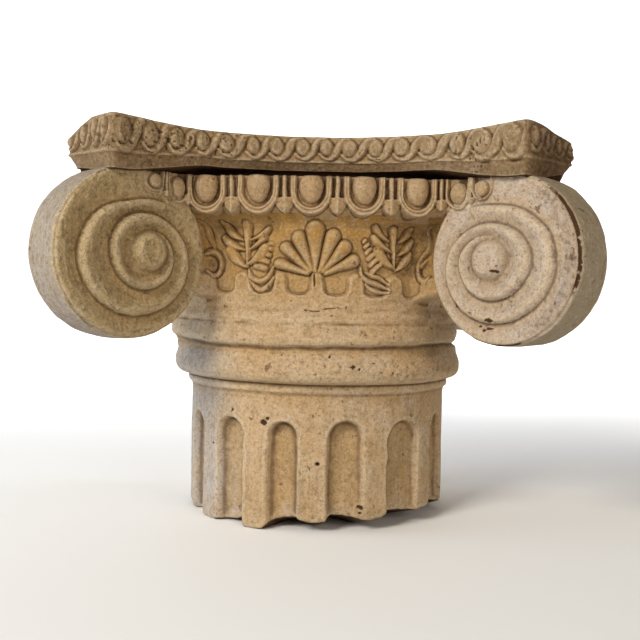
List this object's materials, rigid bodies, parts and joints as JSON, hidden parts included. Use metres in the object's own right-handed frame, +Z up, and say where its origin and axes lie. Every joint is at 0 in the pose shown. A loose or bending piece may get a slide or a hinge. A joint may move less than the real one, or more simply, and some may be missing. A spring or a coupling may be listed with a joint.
{
  "type": "ionic capital",
  "caption": "Four-sided Ionic capital with diagonal volutes, egg-and-dart echinus, wave-scroll abacus and scallop-shell neck on a stub of fluted shaft.",
  "frame": {"origin": "centre of the underside, on the column's axis", "axes": "+Z up the column's axis, -Y towards the face with the scallop shell and sprigs, +X to that face's right"},
  "size_m": [0.5372, 0.5372, 0.412],
  "materials": {
    "painted_terracotta": "matt, worn ochre paint over fired clay"
  },
  "bodies": {
    "root": {"ionic_capital": "painted_terracotta"}
  },
  "joints": []
}
